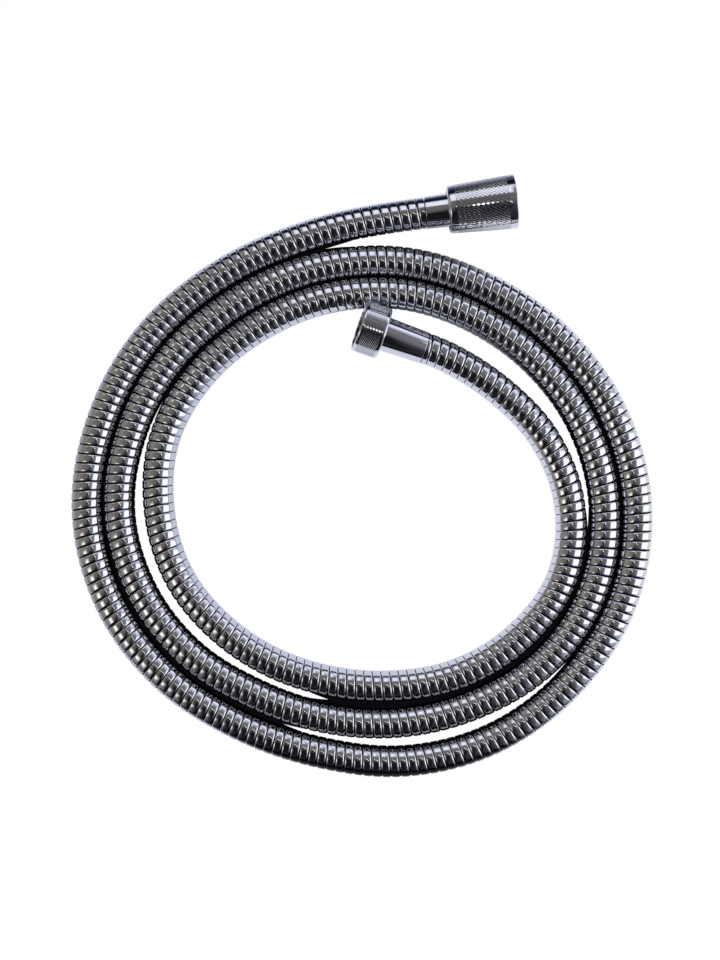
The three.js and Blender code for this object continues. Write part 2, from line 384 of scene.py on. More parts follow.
# Add a node to a tree: its own settings, then values for its sockets, then links into them
def add_node(tree, kind, settings=None, values=None, links=None):
    node = tree.nodes.new(kind)
    for name, value in (settings or {}).items():
        setattr(node, name, value)
    for socket, value in (values or {}).items():
        node.inputs[socket].default_value = value
    for socket, source in (links or {}).items():
        tree.links.new(source, node.inputs[socket])
    return node


# Stops of a colour ramp as (place, colour) from first to last
def set_stops(node, stops):
    ramp = node.color_ramp
    while len(ramp.elements) < len(stops):
        ramp.elements.new(1.0)
    for element, (place, colour) in zip(ramp.elements, stops):
        element.position = place
        element.color = (*colour, 1.0)


def new_material(name):
    material = bpy.data.materials.new(name)
    material.use_nodes = True
    material.node_tree.nodes.clear()
    return material, material.node_tree


# The metals: the size that holds the colour, the roughness at its smoothest and dullest, the size of
# its smears, and the size and height of its dents, in metres
METALS = {
    # Bright polished strip: mirror-like, with a faint haze left by the rolls
    "polished_stainless_steel": ("steel_colour", 0.05, 0.09, 0.006, 0.004, 0.000004),
    # The strip's edge down in the groove: dull from the rolls, with a dark colour that is painted shade down
    # in the groove
    "rolled_steel_edge": ("groove_shade_colour", 0.35, 0.5, 0.003, 0.001, 0.000004),
    # A hard bright mirror with the wave of the polished brass under it
    "chrome_plated_brass": ("chrome_colour", 0.04, 0.08, 0.005, 0.003, 0.000003),
    # Between the diamonds of the knurling: duller than on top, with a darker colour that is painted shade
    # between the diamonds
    "thin_chrome_in_knurling": ("knurl_shade_colour", 0.08, 0.14, 0.003, 0.001, 0.000003),
    # Satin, with the fine haze of a dull tool
    "turned_brass": ("brass_colour", 0.25, 0.4, 0.003, 0.0006, 0.00001),
}

# Share of a noise over which a metal goes from smooth to dull, and how fine the noises are
SMEAR_SPAN = (0.35, 0.7)
FINE_DETAIL = 3.0
COARSE_DETAIL = 2.0

# Size and height of the grain in moulded rubber, and its roughness at both ends
GRAIN_SIZE = 0.0004
GRAIN_HEIGHT = 0.00002
RUBBER_ROUGHNESS = (0.5, 0.75)
RUBBER_IOR = 1.5


# A noise of the given size in metres over the piece
def noise(tree, place, size, detail):
    return add_node(
        tree, "ShaderNodeTexNoise", values={"Scale": 1 / size, "Detail": detail}, links={"Vector": place}
    ).outputs["Fac"]


# A bump of the given height from a noise
def bumped(tree, height, source):
    return add_node(
        tree, "ShaderNodeBump", values={"Strength": 1.0, "Distance": height}, links={"Height": source}
    ).outputs["Normal"]


# A metal of the table, made on first use: a noise moves its roughness and a fainter one dents it
def metal(sizes, name):
    if name in bpy.data.materials:
        return bpy.data.materials[name]
    colour, smooth, dull, smear_size, dent_size, dent_height = METALS[name]
    material, tree = new_material(name)
    place = add_node(tree, "ShaderNodeTexCoord").outputs["Object"]
    span_from, span_to = SMEAR_SPAN
    roughness = add_node(
        tree,
        "ShaderNodeMapRange",
        values={"From Min": span_from, "From Max": span_to, "To Min": smooth, "To Max": dull},
        links={"Value": noise(tree, place, smear_size, FINE_DETAIL)},
    )
    shader = add_node(
        tree,
        "ShaderNodeBsdfPrincipled",
        values={"Base Color": (*getattr(sizes, colour), 1.0), "Metallic": 1.0},
        links={
            "Roughness": roughness.outputs["Result"],
            "Normal": bumped(tree, dent_height, noise(tree, place, dent_size, COARSE_DETAIL)),
        },
    )
    add_node(tree, "ShaderNodeOutputMaterial", links={"Surface": shader.outputs["BSDF"]})
    return material


# EPDM rubber, moulded: matt near-black with a fine grain
def rubber(sizes):
    name = "epdm_rubber"
    if name in bpy.data.materials:
        return bpy.data.materials[name]
    material, tree = new_material(name)
    place = add_node(tree, "ShaderNodeTexCoord").outputs["Object"]
    grain = noise(tree, place, GRAIN_SIZE, FINE_DETAIL)
    smooth, dull = RUBBER_ROUGHNESS
    roughness = add_node(
        tree, "ShaderNodeMapRange", values={"To Min": smooth, "To Max": dull}, links={"Value": grain}
    )
    shader = add_node(
        tree,
        "ShaderNodeBsdfPrincipled",
        values={"Base Color": (*sizes.rubber_colour, 1.0), "IOR": RUBBER_IOR},
        links={"Roughness": roughness.outputs["Result"], "Normal": bumped(tree, GRAIN_HEIGHT, grain)},
    )
    add_node(tree, "ShaderNodeOutputMaterial", links={"Surface": shader.outputs["BSDF"]})
    return material


def chrome(sizes):
    return metal(sizes, "chrome_plated_brass")


def brass(sizes):
    return metal(sizes, "turned_brass")


# A mesh made of a bmesh
def mesh_of(name, bm):
    mesh = bpy.data.meshes.new(name)
    bm.to_mesh(mesh)
    bm.free()
    return mesh


# An object of that name in the scene
def placed(context, name, data):
    thing = bpy.data.objects.new(name, data)
    context.scene.collection.objects.link(thing)
    return thing


# A line of (radius, place) corners in the plane y = 0, closed on itself if asked
def outline(bm, corners, closed):
    verts = [bm.verts.new((radius, 0.0, place)) for radius, place in corners]
    edges = [bm.edges.new(pair) for pair in zip(verts, verts[1:])]
    if closed:
        edges.append(bm.edges.new((verts[-1], verts[0])))
    return verts + edges


# Full turn of an outline about the Z axis
def turn_outline(bm, corners, steps, closed):
    bmesh.ops.spin(
        bm,
        geom=outline(bm, corners, closed),
        cent=(0, 0, 0),
        axis=(0, 0, 1),
        angle=2 * math.pi,
        steps=steps,
        use_merge=True,
    )


def radius_of(vert):
    return math.hypot(vert.co.x, vert.co.y)


# Round the rim at one corner of a turned outline
def round_rim(bm, corner, width):
    radius, place = corner
    rim = [
        edge
        for edge in bm.edges
        if all(abs(radius_of(v) - radius) < TINY and abs(v.co.z - place) < TINY for v in edge.verts)
    ]
    bmesh.ops.bevel(
        bm,
        geom=rim,
        offset=width,
        offset_type="OFFSET",
        affect="EDGES",
        segments=ROUNDING_STEPS,
        profile=0.5,
        material=-1,
        clamp_overlap=True,
    )


# Make a mesh object of a bmesh, put it in its place, and hand it to its body
def finish_piece(context, name, bm, place, material, body, slot_name, *replaced):
    bm.transform(place)
    bmesh.ops.recalc_face_normals(bm, faces=bm.faces)
    mesh = mesh_of(name, bm)
    mesh.set_sharp_from_angle(angle=SHARP_ANGLE)
    mesh.materials.append(material)
    piece = placed(context, name, mesh)
    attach(piece, body)
    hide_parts(*replaced)
    return piece


def smooth_faces(bm):
    for face in bm.faces:
        face.smooth = True


# A turned piece of closed outline with rounded rims
def turned_piece(context, name, corners, rims, width, place, material, body, slot_name, replaced):
    bm = bmesh.new()
    turn_outline(bm, corners, TURNED_STEPS, True)
    for rim in rims:
        round_rim(bm, rim, width)
    smooth_faces(bm)
    return finish_piece(context, name, bm, place, material, body, slot_name, replaced)


# Outline of the strip from the middle of one groove to the middle of the next, as (place, radius)
def strip_outline(sizes):
    half = sizes.strip_pitch / 2
    flat_to = half - sizes.groove_width / 2 - sizes.shoulder_width
    side = [(half, HOSE_RADIUS - sizes.groove_depth)]
    for step in range(SHOULDER_STEPS, -1, -1):
        past_flat = sizes.shoulder_width * step / SHOULDER_STEPS
        drop = sizes.shoulder_radius - math.sqrt(sizes.shoulder_radius ** 2 - past_flat ** 2)
        side.append((flat_to + past_flat, HOSE_RADIUS - drop))
    return [(-place, radius) for place, radius in side] + side[::-1]


# One turn of the strip round the Z axis, with the plain wall inside it
def one_strip_turn(sizes):
    bm = bmesh.new()
    strip = outline(bm, [(radius, place) for place, radius in strip_outline(sizes)], False)
    bore = HOSE_RADIUS - sizes.groove_depth - sizes.strip_wall
    half = sizes.strip_pitch / 2
    wall = outline(bm, [(bore, half), (bore, -half)], False)
    verts = [part for part in strip + wall if isinstance(part, bmesh.types.BMVert)]
    bmesh.ops.translate(bm, vec=(0, 0, -sizes.strip_pitch), verts=verts)
    bmesh.ops.spin(
        bm,
        geom=strip + wall,
        cent=(0, 0, 0),
        axis=(0, 0, 1),
        dvec=(0, 0, sizes.strip_pitch / HOSE_STEPS),
        angle=2 * math.pi,
        steps=HOSE_STEPS,
    )
    return mesh_of("strip_turn", bm)


# The whole strip as a straight hose up the Z axis, cut flat at both ends
def straight_hose(context, sizes):
    holder = placed(context, "strip_turn", one_strip_turn(sizes))
    turns = holder.modifiers.new("turns", "ARRAY")
    turns.use_relative_offset = False
    turns.use_constant_offset = True
    turns.constant_offset_displace = (0, 0, sizes.strip_pitch)
    turns.count = math.ceil(hose_length / sizes.strip_pitch) + SPARE_STRIP_TURNS
    turns.use_merge_vertices = True
    turns.merge_threshold = 10 * TINY
    bm = bmesh.new()
    bm.from_object(holder, context.evaluated_depsgraph_get())
    bpy.data.objects.remove(holder)
    for place, way in ((0.0, -1), (hose_length, 1)):
        cut = bmesh.ops.bisect_plane(
            bm,
            geom=bm.verts[:] + bm.edges[:] + bm.faces[:],
            dist=TINY,
            plane_co=(0, 0, place),
            plane_no=(0, 0, way),
            clear_outer=True,
        )
        rings = [part for part in cut["geom_cut"] if isinstance(part, bmesh.types.BMEdge)]
        bmesh.ops.triangle_fill(bm, edges=rings, use_beauty=True, normal=(0, 0, way))
    bmesh.ops.recalc_face_normals(bm, faces=bm.faces)
    smooth_faces(bm)
    # Faces down in the groove take the second material, whose dark colour is painted shade
    groove_bottom = HOSE_RADIUS - sizes.groove_depth
    for face in bm.faces:
        face.material_index = int(min(radius_of(v) for v in face.verts) < groove_bottom + TINY)
    return bm


# Lay a straight hose along the route. Each turn of the strip stays stiff across its own width, so
# the grooves open on the outside of a bend and close on its inside.
def lay_strip(mesh, pitch):
    straight = np.empty(3 * len(mesh.vertices))
    mesh.vertices.foreach_get("co", straight)
    across, up, length = straight.reshape(-1, 3).T
    turn = np.arctan2(up, across) / (2 * math.pi)
    middle = pitch * (np.round(length / pitch - turn) + turn)
    in_groove = np.abs(length - middle) > pitch / 2 - TINY
    station = np.clip(np.where(in_groove, length, middle), 0, hose_length)
    angle = np.interp(station, lay_lengths, lay_angles)
    heading = hose_headings(angle)
    side = unit(np.cross((0.0, 0.0, 1.0), heading))
    top = np.cross(heading, side)
    laid = hose_points(angle)
    laid += heading * (length - station)[:, None]
    laid += side * across[:, None]
    laid += top * up[:, None]
    mesh.vertices.foreach_set("co", laid.ravel())
    mesh.update()


class SHOWERHOSE_OT_hose(bpy.types.Operator):
    """Wind the metal strip into a hose and lay it in its coil"""

    bl_idname = "shower_hose.hose"
    bl_label = "Wound Hose"

    def execute(self, context):
        sizes = context.scene.shower_hose
        mesh = mesh_of("wound_hose", straight_hose(context, sizes))
        mesh.set_sharp_from_angle(angle=STRIP_SHARP_ANGLE)
        lay_strip(mesh, sizes.strip_pitch)
        mesh.materials.append(metal(sizes, "polished_stainless_steel"))
        mesh.materials.append(metal(sizes, "rolled_steel_edge"))
        hose = placed(context, "wound_hose", mesh)
        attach(hose, "hose")
        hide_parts("metal_hose")
        return {"FINISHED"}


def sleeve(context, sizes, name, places, place, replaced):
    seat_bore = SLEEVE_SEAT_RADIUS - SLEEVE_WALL
    mouth_bore = SLEEVE_MOUTH_RADIUS - SLEEVE_WALL
    mouth = (SLEEVE_MOUTH_RADIUS, places["sleeve_from"])
    corners = [
        (CRIMP_BORE, places["sleeve_from"]),
        mouth,
        (SLEEVE_SEAT_RADIUS, places["sleeve_to"]),
        (seat_bore, places["sleeve_to"]),
        (mouth_bore, places["sleeve_from"] + SLEEVE_LIP),
        (CRIMP_BORE, places["sleeve_from"] + SLEEVE_LIP),
    ]
    width = SLEEVE_ROUNDING
    turned_piece(
        context, name, corners, [mouth], width, place, chrome(sizes), "hose", "chrome_plate", replaced
    )


class SHOWERHOSE_OT_sleeves(bpy.types.Operator):
    """Turn the two sleeves that cover the ends of the hose"""

    bl_idname = "shower_hose.sleeves"
    bl_label = "Sleeves"

    def execute(self, context):
        sizes = context.scene.shower_hose
        sleeve(context, sizes, "polished_cone_ferrule", cone_places, cone_frame, "cone_ferrule")
        sleeve(context, sizes, "polished_wall_sleeve", wall_places, wall_frame, "wall_sleeve")
        return {"FINISHED"}


def insert(context, sizes, name, places, place, replaced):
    corners = [(INSERT_BORE, places["tail_from"])]
    barb_length = TAIL_LENGTH / BARB_COUNT
    for barb in range(BARB_COUNT):
        barb_from = places["tail_from"] + barb * barb_length
        corners.append((TAIL_RADIUS - BARB_DEPTH, barb_from))
        corners.append((TAIL_RADIUS, barb_from + barb_length / 2))
    corners.append((TAIL_RADIUS - BARB_DEPTH, places["spigot_from"]))
    corners.append((SPIGOT_RADIUS, places["spigot_from"]))
    corners.append((SPIGOT_RADIUS, places["flange_from"]))
    corners.append((FLANGE_RADIUS, places["flange_from"]))
    corners.append((FLANGE_RADIUS, places["flange_to"]))
    mouth = (INSERT_BORE, places["flange_to"])
    corners.append(mouth)
    turned_piece(
        context, name, corners, [mouth], RIM_ROUNDING, place, brass(sizes), "hose", "bare_brass", replaced
    )


class SHOWERHOSE_OT_inserts(bpy.types.Operator):
    """Turn the two inserts that hold the water tube and seal on the washers"""

    bl_idname = "shower_hose.inserts"
    bl_label = "Inserts"

    def execute(self, context):
        sizes = context.scene.shower_hose
        insert(context, sizes, "turned_cone_insert", cone_places, cone_frame, "cone_insert")
        insert(context, sizes, "turned_wall_insert", wall_places, wall_frame, "wall_insert")
        return {"FINISHED"}


def washer(context, sizes, name, places, place, body, replaced):
    corners = [
        (WASHER_HOLE_RADIUS, places["washer_from"]),
        (FLANGE_RADIUS, places["washer_from"]),
        (FLANGE_RADIUS, places["washer_to"]),
        (WASHER_HOLE_RADIUS, places["washer_to"]),
    ]
    width = WASHER_ROUNDING
    turned_piece(
        context, name, corners, corners, width, place, rubber(sizes), body, "washer_rubber", replaced
    )


class SHOWERHOSE_OT_washers(bpy.types.Operator):
    """Mould the two sealing washers"""

    bl_idname = "shower_hose.washers"
    bl_label = "Washers"

    def execute(self, context):
        sizes = context.scene.shower_hose
        washer(context, sizes, "moulded_cone_washer", cone_places, cone_frame, "cone_nut", "cone_washer")
        washer(context, sizes, "moulded_wall_washer", wall_places, wall_frame, "wall_nut", "wall_washer")
        return {"FINISHED"}


# One pitch of the thread as (share of the pitch, share of the depth from core to root)
THREAD_OUTLINE = [(0.0, 1.0), (0.14, 0.92), (0.42, 0.08), (0.5, 0.0), (0.58, 0.08), (0.86, 0.92), (1.0, 1.0)]


# Wind the thread of a nut between two places, open to a cone at its mouth and to a step at its end
def cut_thread(bm, thread_from, thread_to):
    depth = THREAD_ROOT_RADIUS - THREAD_CORE_RADIUS
    turns = math.ceil((thread_to - thread_from) / THREAD_PITCH) + SPARE_THREAD_TURNS
    start = thread_from - 1.5 * THREAD_PITCH
    corners = [
        (THREAD_CORE_RADIUS + share * depth, start + place * THREAD_PITCH) for place, share in THREAD_OUTLINE
    ]
    kept = set(bm.verts)
    bmesh.ops.spin(
        bm,
        geom=outline(bm, corners, False),
        cent=(0, 0, 0),
        axis=(0, 0, 1),
        dvec=(0, 0, THREAD_PITCH / THREAD_STEPS),
        angle=2 * math.pi * turns,
        steps=THREAD_STEPS * turns,
    )
    bmesh.ops.remove_doubles(bm, verts=[v for v in bm.verts if v not in kept], dist=TINY)
    rings = []
    for place, way in ((thread_from, -1), (thread_to, 1)):
        thread = [v for v in bm.verts if v not in kept]
        edges = {edge for v in thread for edge in v.link_edges}
        faces = {face for v in thread for face in v.link_faces}
        cut = bmesh.ops.bisect_plane(
            bm,
            geom=thread + list(edges) + list(faces),
            dist=TINY,
            plane_co=(0, 0, place),
            plane_no=(0, 0, way),
            clear_outer=True,
        )
        rings.append([part for part in cut["geom_cut"] if isinstance(part, bmesh.types.BMEdge)])
    for v in bm.verts:
        if v in kept:
            continue
        radius = radius_of(v)
        mouth = THREAD_CORE_RADIUS + THREAD_LEAD_IN - (thread_to - v.co.z)
        end = THREAD_CORE_RADIUS + THREAD_RUN_OUT - (v.co.z - thread_from)
        wider = max(radius, mouth, end) / radius
        v.co.x *= wider
        v.co.y *= wider
    return rings


# Raised diamonds all over a band of a turned wall: its squares are cut across their corners, the
# pieces on both sides of each old edge become one diamond, and each diamond is lifted
def knurl(bm, knurl_from, knurl_to, wall_radius, slope, depth):
    def on_wall(v):
        in_band = knurl_from - TINY < v.co.z < knurl_to + TINY
        return in_band and radius_of(v) > wall_radius(v.co.z) - 1.5 * depth

    band = [
        face
        for face in bm.faces
        if all(on_wall(v) for v in face.verts) and abs(face.verts[0].co.z - face.verts[2].co.z) > TINY
    ]
    inside = set(band)
    edges = {edge for face in band for edge in face.edges}
    old_edges = [edge for edge in edges if all(f in inside for f in edge.link_faces)]
    kept = {face for face in bm.faces if face not in inside}
    bmesh.ops.poke(bm, faces=band)
    bmesh.ops.dissolve_edges(bm, edges=old_edges, use_verts=False)
    diamonds = [face for face in bm.faces if face not in kept]
    slopes = bmesh.ops.inset_individual(
        bm, faces=diamonds, thickness=slope, depth=depth, use_even_offset=True
    )
    for face in bm.faces:
        face.smooth = face in kept
    # The diamonds' sloping sides take the second material, whose darker colour is painted shade
    for face in slopes["faces"]:
        face.material_index = 1


# A knurled nut: the wall is a function from place to radius, and the band of knurling has a groove
# as deep as its diamonds on both sides
def knurled_nut(
    context, sizes, name, places, wall_radius, band, knurl_length, knurl_width, rims, place, body, replaced
):
    knurl_from = places["nut_from"] + band
    knurl_to = places["nut_to"] - band
    rows = round((knurl_to - knurl_from) / knurl_length)
    columns = round(2 * math.pi * wall_radius((knurl_from + knurl_to) / 2) / knurl_width)
    back = (wall_radius(places["nut_from"]), places["nut_from"])
    front = (wall_radius(places["nut_to"]), places["nut_to"])
    corners = [
        (THREAD_CORE_RADIUS, places["thread_from"]),
        (THREAD_CORE_RADIUS, places["sleeve_to"]),
        (NUT_BORE, places["sleeve_to"]),
        (NUT_BORE, places["nut_from"]),
        back,
        (wall_radius(knurl_from), knurl_from),
    ]
    for row in range(rows + 1):
        at = knurl_from + (knurl_to - knurl_from) * row / rows
        corners.append((wall_radius(at) - sizes.knurl_depth, at))
    corners.append((wall_radius(knurl_to), knurl_to))
    corners.append(front)
    bm = bmesh.new()
    turn_outline(bm, corners, columns, False)
    open_rings = [edge for edge in bm.edges if edge.is_boundary]
    back_ring = [edge for edge in open_rings if edge.verts[0].co.z < knurl_to]
    front_ring = [edge for edge in open_rings if edge.verts[0].co.z > knurl_to]
    thread_rings = cut_thread(bm, places["thread_from"], places["nut_to"])
    for ring, thread_ring in zip((back_ring, front_ring), thread_rings):
        bmesh.ops.triangle_fill(bm, edges=ring + thread_ring, use_beauty=True, normal=(0, 0, 1))
    bmesh.ops.recalc_face_normals(bm, faces=bm.faces)
    for corner, width in ((back, rims[0]), (front, rims[1])):
        round_rim(bm, corner, width)
    knurl(bm, knurl_from, knurl_to, wall_radius, sizes.knurl_slope, sizes.knurl_depth)
    nut = finish_piece(context, name, bm, place, chrome(sizes), body, "chrome_plate", replaced)
    nut.data.materials.append(metal(sizes, "thin_chrome_in_knurling"))


def cone_radius(place):
    return CONE_NARROW_RADIUS + (place - cone_places["nut_from"]) * math.tan(cone_pitch)


def wall_nut_radius(place):
    return WALL_NUT_RADIUS


class SHOWERHOSE_OT_cone_nut(bpy.types.Operator):
    """Turn, knurl and thread the conical nut"""

    bl_idname = "shower_hose.cone_nut"
    bl_label = "Conical Nut"

    def execute(self, context):
        sizes = context.scene.shower_hose
        knurled_nut(
            context,
            sizes,
            "knurled_cone_nut",
            cone_places,
            cone_radius,
            CONE_BAND,
            sizes.cone_knurl_length,
            sizes.cone_knurl_width,
            (CONE_ROUNDING, CONE_EDGE),
            cone_frame,
            "cone_nut",
            "cone_nut",
        )
        return {"FINISHED"}


class SHOWERHOSE_OT_wall_nut(bpy.types.Operator):
    """Turn, knurl and thread the short nut"""

    bl_idname = "shower_hose.wall_nut"
    bl_label = "Short Nut"

    def execute(self, context):
        sizes = context.scene.shower_hose
        knurled_nut(
            context,
            sizes,
            "knurled_wall_nut",
            wall_places,
            wall_nut_radius,
            WALL_NUT_EDGE + WALL_NUT_BAND,
            sizes.wall_knurl_length,
            sizes.wall_knurl_width,
            (WALL_NUT_EDGE, WALL_NUT_EDGE),
            wall_frame,
            "wall_nut",
            "wall_nut",
        )
        return {"FINISHED"}


class SHOWERHOSE_OT_hidden_pieces(bpy.types.Operator):
    """Give the water tube and the crimp rings inside the hose their materials"""

    bl_idname = "shower_hose.hidden_pieces"
    bl_label = "Water Tube and Crimp Rings"

    def execute(self, context):
        sizes = context.scene.shower_hose
        finishes = {
            "water_tube": rubber(sizes),
            "cone_crimp_ring": brass(sizes),
            "wall_crimp_ring": brass(sizes),
        }
        for name, material in finishes.items():
            for material_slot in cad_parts[name].material_slots:
                material_slot.material = material
        return {"FINISHED"}


# The camera looks straight down from half a metre, a little to one side of the coil's middle
CAMERA_PLACE = (-0.000894, -0.00158, 0.5099)
CAMERA_LENS = 42.15
CAMERA_SENSOR = 36.0


class SHOWERHOSE_OT_camera(bpy.types.Operator):
    """Set up the camera over the coil"""

    bl_idname = "shower_hose.camera"
    bl_label = "Camera"

    def execute(self, context):
        lens = bpy.data.cameras.new("camera")
        lens.sensor_fit = "VERTICAL"
        lens.sensor_height = CAMERA_SENSOR
        lens.lens = CAMERA_LENS
        lens.clip_start = 0.01
        camera = placed(context, "camera", lens)
        camera.location = CAMERA_PLACE
        context.scene.camera = camera
        return {"FINISHED"}


FLOOR_SIZE = 6.0
FLOOR_COLOUR = "#e9eaf0"
WHITE = (1.0, 1.0, 1.0)

# Half the width of the square round the coil over which the floor's painted light and shade change in the
# metal, its painted light from left to right, brighter towards the large light, its painted shade from the
# near side to the far side, dark a little below and above the coil, and the brightness of that painted light
SHEET_REACH = 0.2
SHEET_LIGHT_TONES = [(0.1, "#a9a7ae"), (0.35, "#dfe3f4"), (0.9, "#f7f8ff")]
SHEET_SHADE_ENDS = [(0.13, "#3a3436"), (0.2, "#ffffff"), (0.84, "#ffffff"), (0.92, "#596179")]
SHEET_LIGHT_STRENGTH = 1.15

# Painted shade in the clefts between the turns, where the metal sees the floor: how far the floor looks for
# what covers it, and its tones from covered to open
CLEFT_REACH = 0.03
CLEFT_SAMPLES = 16
CLEFT_SHADE_TONES = [(0.33, "#060608"), (0.62, "#ffffff")]

# Spans of the coil, in degrees along the outer turn, where the floor between it and the next turn is
# in deep shadow, and that shadow's tone
SHADOW_COLOUR = "#0c0c0e"
SHADOW_SPANS = [(98.0, 250.0), (323.0, 512.0), (620.0, 715.0)]
SHADOW_TAPER = 6.0
SHADOW_HEIGHT = 0.00002
SHADOW_STEP = 1.0
FULL_TURN = 360.0


# The colour that a value has on a ramp of tones, each as (place, hex code)
def on_ramp(tree, value, stops):
    ramp = add_node(tree, "ShaderNodeValToRGB", links={"Fac": value})
    set_stops(ramp, [(place, srgb(code)) for place, code in stops])
    return ramp.outputs["Color"]


# A ramp of painted light and shade tones across the floor
def side_ramp(tree, distance, stops):
    share = add_node(
        tree,
        "ShaderNodeMapRange",
        values={"From Min": -SHEET_REACH, "From Max": SHEET_REACH},
        links={"Value": distance},
    )
    return on_ramp(tree, share.outputs["Result"], stops)


# Two colours multiplied
def multiplied(tree, first, second):
    product = add_node(
        tree,
        "ShaderNodeMix",
        settings={"data_type": "RGBA", "blend_type": "MULTIPLY"},
        values={"Factor": 1.0},
        links={6: first, 7: second},
    )
    return product.outputs[2]


# A pale floor. Seen directly it is white. In the metal it glows as a pale lavender sheet of painted light,
# brighter towards the large light, with painted shade that darkens it a little below and above the coil and
# in the clefts between the turns of the hose.
def floor_material():
    material, tree = new_material("floor_paper")
    rays = add_node(tree, "ShaderNodeLightPath")
    place = add_node(tree, "ShaderNodeTexCoord").outputs["Object"]
    axes = add_node(tree, "ShaderNodeSeparateXYZ", links={"Vector": place})
    # Painted shade: the floor in the metal darkens where the hose covers it
    openness = add_node(
        tree,
        "ShaderNodeAmbientOcclusion",
        settings={"samples": CLEFT_SAMPLES},
        values={"Distance": CLEFT_REACH},
    )
    cleft_shade = on_ramp(tree, openness.outputs["AO"], CLEFT_SHADE_TONES)
    # Painted light and shade: the floor's tone in the metal is brighter towards the large light and dark a
    # little below and above the coil
    painted_sheet_light = side_ramp(tree, axes.outputs["X"], SHEET_LIGHT_TONES)
    painted_sheet_shade = side_ramp(tree, axes.outputs["Y"], SHEET_SHADE_ENDS)
    painted_light_in_metal = multiplied(tree, multiplied(tree, painted_sheet_light, painted_sheet_shade), cleft_shade)

    direct = add_node(tree, "ShaderNodeEmission", values={"Color": (*WHITE, 1.0), "Strength": 1.0})
    painted_floor_glow = add_node(
        tree, "ShaderNodeEmission", values={"Strength": SHEET_LIGHT_STRENGTH}, links={"Color": painted_light_in_metal}
    )
    lit = add_node(tree, "ShaderNodeBsdfDiffuse", values={"Color": (*srgb(FLOOR_COLOUR), 1.0)})
    seen_through = add_node(
        tree,
        "ShaderNodeMath",
        settings={"operation": "MAXIMUM"},
        links={0: rays.outputs["Is Glossy Ray"], 1: rays.outputs["Is Transmission Ray"]},
    )
    reflected = add_node(
        tree,
        "ShaderNodeMixShader",
        links={
            "Fac": seen_through.outputs["Value"],
            1: lit.outputs["BSDF"],
            2: painted_floor_glow.outputs["Emission"],
        },
    )
    seen = add_node(
        tree,
        "ShaderNodeMixShader",
        links={
            "Fac": rays.outputs["Is Camera Ray"],
            1: reflected.outputs["Shader"],
            2: direct.outputs["Emission"],
        },
    )
    add_node(tree, "ShaderNodeOutputMaterial", links={"Surface": seen.outputs["Shader"]})
    return material


# The deep shadow on the floor between two turns of the hose that almost touch
def gap_shadow_material():
    material, tree = new_material("gap_shadow")
    colour = (*srgb(SHADOW_COLOUR), 1.0)
    dark = add_node(tree, "ShaderNodeEmission", values={"Color": colour, "Strength": 1.0})
    add_node(tree, "ShaderNodeOutputMaterial", links={"Surface": dark.outputs["Emission"]})
    return material


# Lay the shadow in ribbons, one from under each of the two turns to the middle of the gap between
# them as the camera sees it. Past the ends of a span it narrows and draws back under the turns.
def gap_shadow(context):
    eye = np.array(CAMERA_PLACE)
    spread = eye[2] / (eye[2] - HOSE_RADIUS)
    bm = bmesh.new()
    for start, end in SHADOW_SPANS:
        rows = []
        for angle in np.arange(start - SHADOW_TAPER, end + SHADOW_TAPER, SHADOW_STEP):
            outer, inner = flat_route(np.array([angle, angle + FULL_TURN]))
            half_gap = np.linalg.norm(outer - inner) / 2
            past_end = max(start - angle, angle - end, 0.0) / SHADOW_TAPER
            reach = HOSE_RADIUS + (half_gap - HOSE_RADIUS) * (1 - past_end)
            inward = unit(inner - outer) * reach
            line = (outer, outer + inward, inner - inward, inner)
            on_floor = [eye + (point - eye) * spread for point in line]
            rows.append([bm.verts.new((x, y, SHADOW_HEIGHT)) for x, y, _ in on_floor])
        for row, next_row in zip(rows, rows[1:]):
            bm.faces.new((row[1], row[0], next_row[0], next_row[1]))
            bm.faces.new((row[3], row[2], next_row[2], next_row[3]))
    mesh = mesh_of("gap_shadow", bm)
    mesh.materials.append(gap_shadow_material())
    shadow = placed(context, "gap_shadow", mesh)
    shadow.visible_glossy = False
    shadow.visible_diffuse = False
    shadow.visible_shadow = False


# Flat lights and dark boards round the coil: place, width and height, colour, strength, and the
# share of the panel over which it fades away at each edge
PANELS = {
    "right_window": ((1.02, -0.07, 0.53), (1.18, 1.2), "#f8f9ff", 1.8, 0.15),
    "far_panel": ((-0.06, 0.49, 0.4), (0.4, 0.42), "#f0f3ff", 1.4, 0.25),
    "pale_wall": ((0.5, 0.75, 0.33), (1.0, 0.55), "#e8ecff", 1.4, 0.3),
    "strip_light": ((0.04, 0.047, 0.56), (0.2, 0.014), "#ffffff", 3.5, 0.1),
    "left_lamp": ((-1.03, -0.6, 1.07), (1.05, 1.05), "#fffaf2", 1.7, 0.4),
    "small_lamp": ((-0.57, 0.4, 0.48), (0.28, 0.28), "#fffcf5", 1.0, 0.4),
    "camera_body": ((0.0, 0.0, 0.58), (0.18, 0.18), "#ffffff", 0.03, 0.3),
    "dark_figure": ((-0.04, -0.28, 0.37), (0.36, 0.66), "#f4f4ff", 0.014, 0.25),
    "near_board": ((0.01, -0.27, 0.035), (0.38, 0.1), "#ffffff", 0.003, 0.2),
    "far_board": ((0.02, 0.31, 0.045), (0.64, 0.12), "#b8c4ff", 0.02, 0.15),
}


